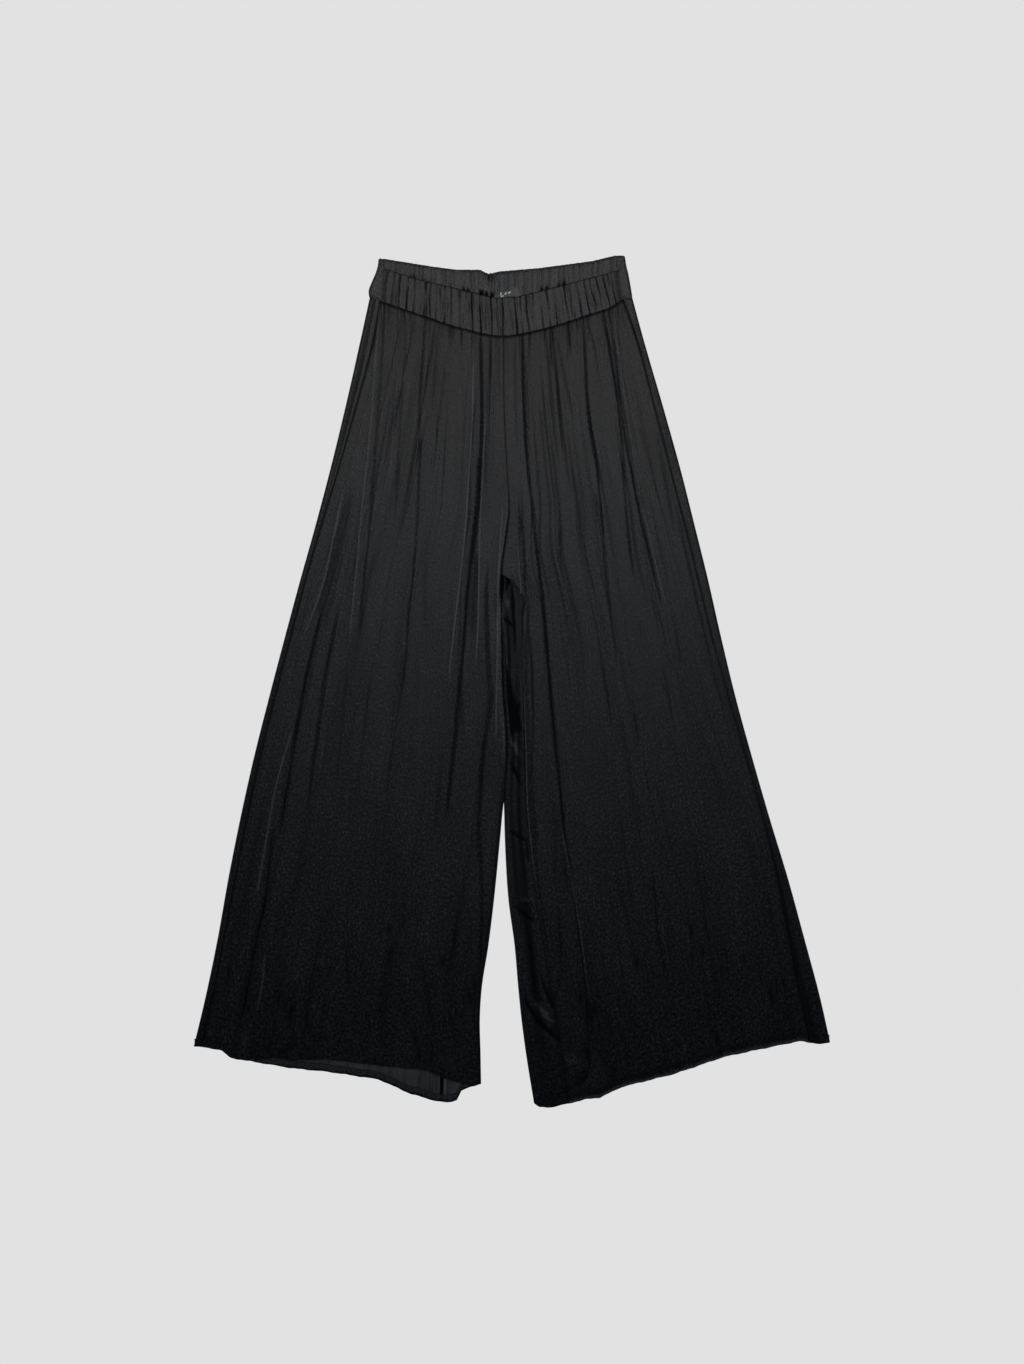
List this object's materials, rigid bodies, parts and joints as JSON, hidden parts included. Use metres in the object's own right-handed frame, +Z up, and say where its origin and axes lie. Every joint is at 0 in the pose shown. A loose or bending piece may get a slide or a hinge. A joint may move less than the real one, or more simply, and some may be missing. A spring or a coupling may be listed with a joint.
{
  "type": "palazzo pants",
  "caption": "Wide-leg pull-on palazzo pants with a gathered elastic waistband, laid flat with the front up and the legs flared into loose folds.",
  "frame": {"origin": "on the surface that the pants lie on, under the middle of their outline", "axes": "+Y towards the waistband, along the legs; +Z up out of the surface, through the front of the pants; +X to the right as seen from above with the waist at the top"},
  "size_m": [0.7962, 1.0639, 0.01],
  "materials": {
    "black_satin": "satin with a fine crinkle",
    "label_tape": "matte woven tape"
  },
  "bodies": {
    "root": {"waistband_front": "black_satin", "waistband_back": "black_satin", "leg_front_left": "black_satin", "leg_front_right": "black_satin", "leg_back_left": "black_satin", "leg_back_right": "black_satin", "label": "label_tape"}
  },
  "joints": []
}
